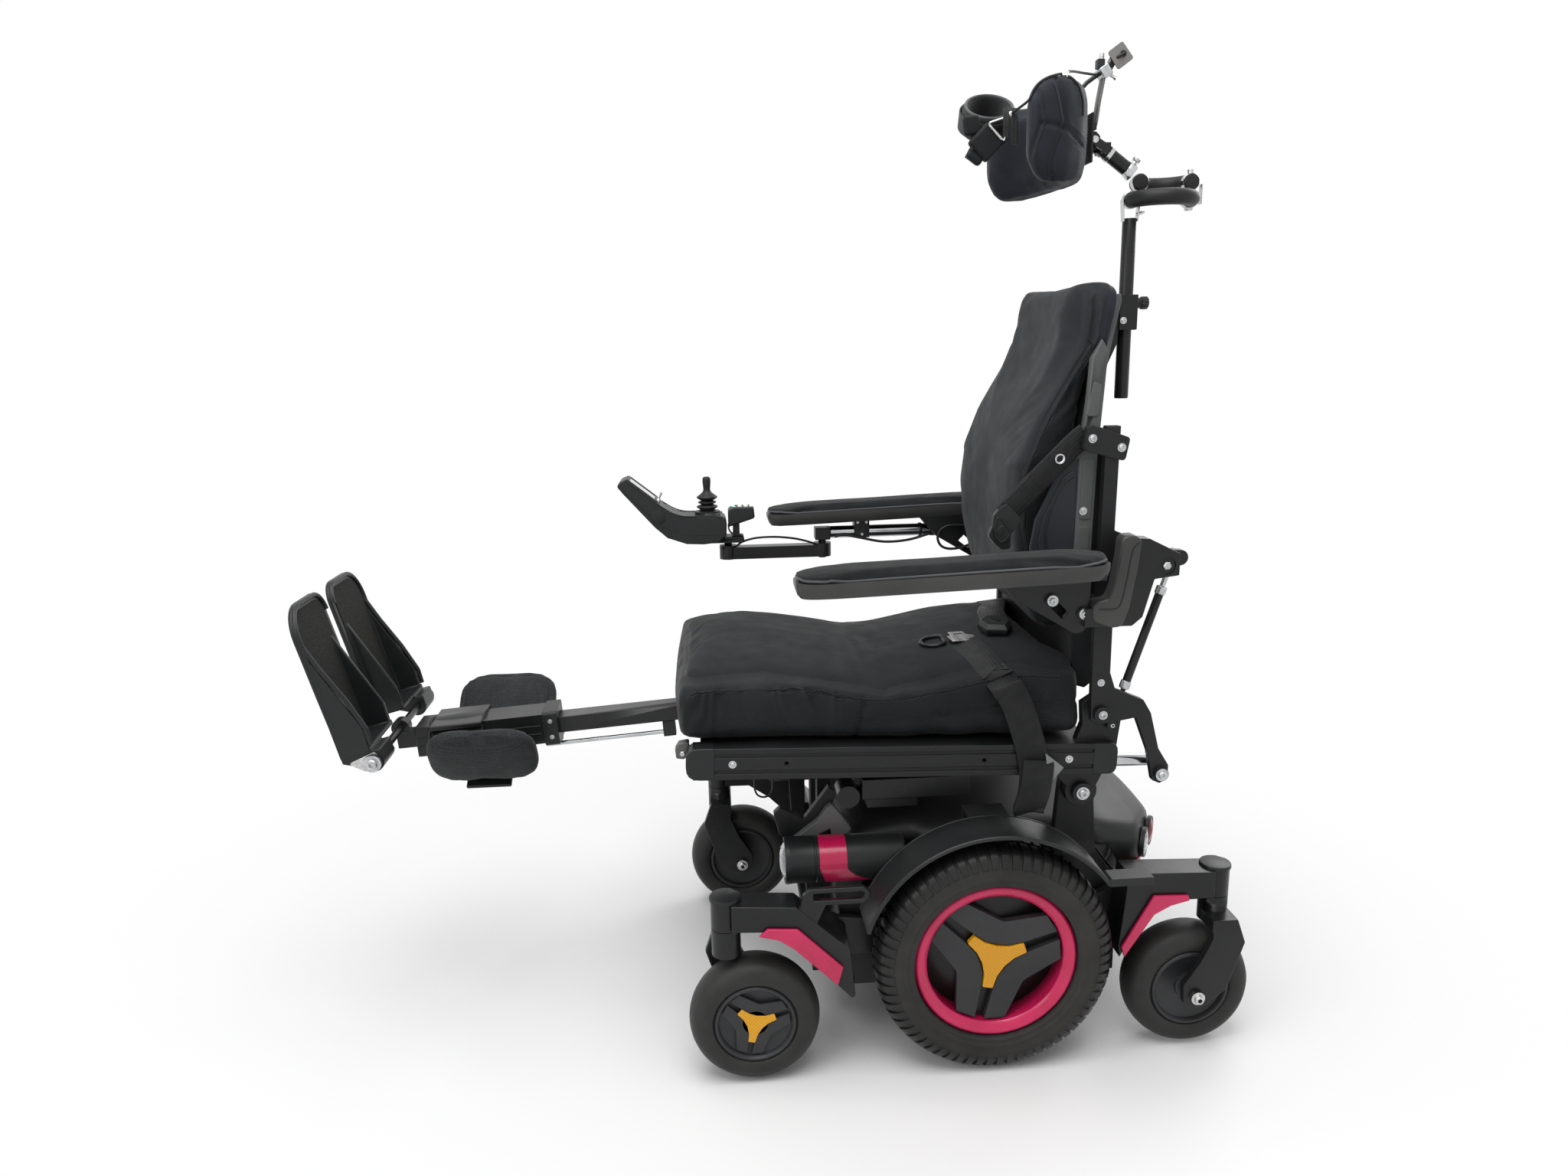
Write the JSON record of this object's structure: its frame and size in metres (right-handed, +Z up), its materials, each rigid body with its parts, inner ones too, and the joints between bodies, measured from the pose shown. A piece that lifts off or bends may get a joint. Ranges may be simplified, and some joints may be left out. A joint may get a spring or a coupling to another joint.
{
  "type": "power wheelchair",
  "caption": "Mid-wheel-drive power wheelchair with suspended casters, tilting seat, reclining back, raised legrest, flip-up armrests, swing-away joystick and headrest on a jointed post.",
  "frame": {"origin": "on the ground under the middle of the chair's overall length and width", "axes": "+X towards the rear of the chair, +Y to the user's right, +Z up"},
  "size_m": [1.3887, 0.662, 1.465],
  "materials": {
    "powder_coat": "satin",
    "black_alloy": "satin",
    "battery_case": "matte",
    "black_plastic": "satin",
    "accent": "gloss",
    "tyre": "matte",
    "cover_fabric": "matte",
    "webbing": "matte",
    "chrome": "polished",
    "zinc": "satin",
    "lens": "gloss",
    "key": "matte"
  },
  "bodies": {
    "chassis": {"base_frame": "powder_coat", "base_cover": "black_plastic", "batteries": "battery_case", "drive_motors": "powder_coat", "power_module": "black_alloy", "side_tubes": "black_plastic", "lamp_lenses": "lens", "fenders": "black_plastic"},
    "seat": {"seat_frame": "black_alloy", "seat_cushion": "cover_fabric", "lap_belt": "webbing", "seat_actuators": "black_alloy"},
    "recline_actuator_rods": {"recline_rods": "chrome"},
    "back": {"back_frame": "powder_coat", "back_shell": "black_plastic", "back_cushion": "cover_fabric", "chest_belt": "webbing"},
    "joystick_arm": {"joystick_arm": "black_alloy"},
    "joystick": {"joystick_housing": "black_plastic"},
    "joystick_gimbal": {"joystick_gimbal": "zinc"},
    "joystick_stick": {"joystick_stick": "black_plastic"},
    "power_button": {"power_button": "key"},
    "leg_upper": {"leg_upper": "powder_coat"},
    "leg_carriage": {"leg_carriage": "powder_coat", "calf_pads": "cover_fabric"},
    "headrest_post": {"headrest_post": "powder_coat"},
    "headrest_arm": {"headrest_arm": "powder_coat"},
    "headrest": {"headrest_pad": "cover_fabric", "headband": "cover_fabric", "head_switch_mount": "zinc"},
    "drive_wheel_left": {"drive_tyre_left": "tyre", "drive_rim_left": "accent"},
    "suspension_front_left": {"caster_arm_front_left": "black_alloy", "arm_cover_front_left": "accent"},
    "caster_fork_front_left": {"caster_fork_front_left": "powder_coat"},
    "caster_wheel_front_left": {"caster_wheel_front_left": "tyre"},
    "suspension_rear_left": {"caster_arm_rear_left": "black_alloy", "arm_cover_rear_left": "accent"},
    "caster_fork_rear_left": {"caster_fork_rear_left": "powder_coat"},
    "caster_wheel_rear_left": {"caster_wheel_rear_left": "tyre"},
    "drive_wheel_right": {"drive_tyre_right": "tyre", "drive_rim_right": "accent"},
    "suspension_front_right": {"caster_arm_front_right": "black_alloy", "arm_cover_front_right": "accent"},
    "caster_fork_front_right": {"caster_fork_front_right": "powder_coat"},
    "caster_wheel_front_right": {"caster_wheel_front_right": "tyre"},
    "suspension_rear_right": {"caster_arm_rear_right": "black_alloy", "arm_cover_rear_right": "accent"},
    "caster_fork_rear_right": {"caster_fork_rear_right": "powder_coat"},
    "caster_wheel_rear_right": {"caster_wheel_rear_right": "tyre"},
    "arm_crank_left": {"arm_crank_left": "powder_coat"},
    "arm_link_left": {"arm_link_left": "powder_coat"},
    "armrest_left": {"arm_frame_left": "black_alloy", "arm_pad_left": "cover_fabric"},
    "arm_crank_right": {"arm_crank_right": "powder_coat"},
    "arm_link_right": {"arm_link_right": "powder_coat"},
    "armrest_right": {"arm_frame_right": "black_alloy", "arm_pad_right": "cover_fabric"},
    "footplate_left": {"footplate_left": "black_alloy"},
    "footplate_right": {"footplate_right": "black_alloy"}
  },
  "joints": [
    {"name": "drive_left", "type": "hinge", "parent": "chassis", "child": "drive_wheel_left", "pos_m": [0.296, -0.262, 0.175], "axis": [0, 1, 0], "continuous": true},
    {"name": "suspension_front_left", "type": "hinge", "parent": "chassis", "child": "suspension_front_left", "pos_m": [0.176, -0.2045, 0.18], "axis": [0, 1, 0], "range_deg": [-6, 6], "stiffness_Nm_per_rad": 3000},
    {"name": "swivel_front_left", "type": "hinge", "parent": "suspension_front_left", "child": "caster_fork_front_left", "pos_m": [-0.09, -0.258, 0.25], "axis": [0, 0, 1], "continuous": true},
    {"name": "caster_front_left", "type": "hinge", "parent": "caster_fork_front_left", "child": "caster_wheel_front_left", "pos_m": [-0.052, -0.258, 0.095], "axis": [0, 1, 0], "continuous": true},
    {"name": "suspension_rear_left", "type": "hinge", "parent": "chassis", "child": "suspension_rear_left", "pos_m": [0.416, -0.2045, 0.18], "axis": [0, 1, 0], "range_deg": [-6, 6], "stiffness_Nm_per_rad": 3000},
    {"name": "swivel_rear_left", "type": "hinge", "parent": "suspension_rear_left", "child": "caster_fork_rear_left", "pos_m": [0.638, -0.236, 0.25], "axis": [0, 0, 1], "continuous": true},
    {"name": "caster_rear_left", "type": "hinge", "parent": "caster_fork_rear_left", "child": "caster_wheel_rear_left", "pos_m": [0.6, -0.236, 0.095], "axis": [0, 1, 0], "continuous": true},
    {"name": "drive_right", "type": "hinge", "parent": "chassis", "child": "drive_wheel_right", "pos_m": [0.296, 0.262, 0.175], "axis": [0, 1, 0], "continuous": true},
    {"name": "suspension_front_right", "type": "hinge", "parent": "chassis", "child": "suspension_front_right", "pos_m": [0.176, 0.2045, 0.18], "axis": [0, 1, 0], "range_deg": [-6, 6], "stiffness_Nm_per_rad": 3000},
    {"name": "swivel_front_right", "type": "hinge", "parent": "suspension_front_right", "child": "caster_fork_front_right", "pos_m": [-0.09, 0.258, 0.25], "axis": [0, 0, 1], "continuous": true},
    {"name": "caster_front_right", "type": "hinge", "parent": "caster_fork_front_right", "child": "caster_wheel_front_right", "pos_m": [-0.052, 0.258, 0.095], "axis": [0, 1, 0], "continuous": true},
    {"name": "suspension_rear_right", "type": "hinge", "parent": "chassis", "child": "suspension_rear_right", "pos_m": [0.416, 0.2045, 0.18], "axis": [0, 1, 0], "range_deg": [-6, 6], "stiffness_Nm_per_rad": 3000},
    {"name": "swivel_rear_right", "type": "hinge", "parent": "suspension_rear_right", "child": "caster_fork_rear_right", "pos_m": [0.638, 0.236, 0.25], "axis": [0, 0, 1], "continuous": true},
    {"name": "caster_rear_right", "type": "hinge", "parent": "caster_fork_rear_right", "child": "caster_wheel_rear_right", "pos_m": [0.6, 0.236, 0.095], "axis": [0, 1, 0], "continuous": true},
    {"name": "tilt", "type": "hinge", "parent": "chassis", "child": "seat", "pos_m": [0.434, 0, 0.402], "axis": [0, 1, 0], "range_deg": [0, 45]},
    {"name": "recline", "type": "hinge", "parent": "seat", "child": "back", "pos_m": [0.448, 0, 0.53], "axis": [0, 1, 0], "range_deg": [0, 35]},
    {"name": "recline_rod", "type": "slide", "parent": "seat", "child": "recline_actuator_rods", "axis": [0.9995, 0, -0.0314], "range_m": [-0.07, 0]},
    {"name": "arm_crank_left", "type": "hinge", "parent": "back", "child": "arm_crank_left", "pos_m": [0.518, -0.247, 0.746], "axis": [0, 1, 0], "range_deg": [-35.1, 0]},
    {"name": "arm_link_left", "type": "hinge", "parent": "seat", "child": "arm_link_left", "pos_m": [0.478, -0.232, 0.535], "axis": [0, 1, 0], "range_deg": [0, 35.1]},
    {"name": "armrest_lift_left", "type": "hinge", "parent": "arm_crank_left", "child": "armrest_left", "pos_m": [0.518, -0.267, 0.746], "axis": [0, 1, 0], "range_deg": [0, 90]},
    {"name": "arm_crank_right", "type": "hinge", "parent": "back", "child": "arm_crank_right", "pos_m": [0.518, 0.247, 0.746], "axis": [0, 1, 0], "range_deg": [-35.1, 0]},
    {"name": "arm_link_right", "type": "hinge", "parent": "seat", "child": "arm_link_right", "pos_m": [0.478, 0.232, 0.535], "axis": [0, 1, 0], "range_deg": [0, 35.1]},
    {"name": "armrest_lift_right", "type": "hinge", "parent": "arm_crank_right", "child": "armrest_right", "pos_m": [0.518, 0.267, 0.746], "axis": [0, 1, 0], "range_deg": [0, 90]},
    {"name": "joystick_swing", "type": "hinge", "parent": "armrest_right", "child": "joystick_arm", "pos_m": [0.114, 0.292, 0.676], "axis": [0, 0, 1], "range_deg": [-80, 0]},
    {"name": "joystick_level", "type": "hinge", "parent": "joystick_arm", "child": "joystick", "pos_m": [-0.059, 0.292, 0.695], "axis": [0, 0, 1], "range_deg": [0, 80.1]},
    {"name": "stick_forward", "type": "hinge", "parent": "joystick", "child": "joystick_gimbal", "pos_m": [-0.095, 0.292, 0.737], "axis": [0, 1, 0], "range_deg": [-15, 15], "stiffness_Nm_per_rad": 0.6},
    {"name": "stick_sideways", "type": "hinge", "parent": "joystick_gimbal", "child": "joystick_stick", "pos_m": [-0.095, 0.292, 0.737], "axis": [1, 0, 0], "range_deg": [-15, 15], "stiffness_Nm_per_rad": 0.6},
    {"name": "power_press", "type": "slide", "parent": "joystick", "child": "power_button", "axis": [0, 0, -1], "range_m": [0, 0.001], "stiffness_N_per_m": 1200},
    {"name": "knee", "type": "hinge", "parent": "seat", "child": "leg_upper", "pos_m": [-0.134, 0, 0.48], "axis": [0, 1, 0], "range_deg": [-80, 0]},
    {"name": "leg_length", "type": "slide", "parent": "leg_upper", "child": "leg_carriage", "axis": [0.9976, 0, 0.0698], "range_m": [0, 0.1405]},
    {"name": "footplate_left", "type": "hinge", "parent": "leg_carriage", "child": "footplate_left", "pos_m": [-0.589, -0.092, 0.468], "axis": [0, 1, 0], "range_deg": [0, 30]},
    {"name": "footplate_right", "type": "hinge", "parent": "leg_carriage", "child": "footplate_right", "pos_m": [-0.589, 0.092, 0.468], "axis": [0, 1, 0], "range_deg": [0, 30]},
    {"name": "headrest_height", "type": "slide", "parent": "back", "child": "headrest_post", "axis": [0, 0, 1], "range_m": [-0.07, 0.06]},
    {"name": "headrest_turn", "type": "hinge", "parent": "headrest_post", "child": "headrest_arm", "pos_m": [0.642, 0, 1.272], "axis": [0, 0, 1], "range_deg": [-20, 20]},
    {"name": "headrest_tilt", "type": "hinge", "parent": "headrest_arm", "child": "headrest", "pos_m": [0.488, 0, 1.33], "axis": [0, 1, 0], "range_deg": [-20, 20]}
  ],
  "couplings": [
    {"joint": "recline_rod", "follows": "recline", "m_per_rad": -0.11397},
    {"joint": "arm_crank_left", "follows": "recline", "ratio": -1},
    {"joint": "arm_link_left", "follows": "recline", "ratio": 1},
    {"joint": "arm_crank_right", "follows": "recline", "ratio": -1},
    {"joint": "arm_link_right", "follows": "recline", "ratio": 1},
    {"joint": "joystick_level", "follows": "joystick_swing", "ratio": -1},
    {"joint": "leg_length", "follows": "knee", "m_per_rad": -0.1003}
  ]
}
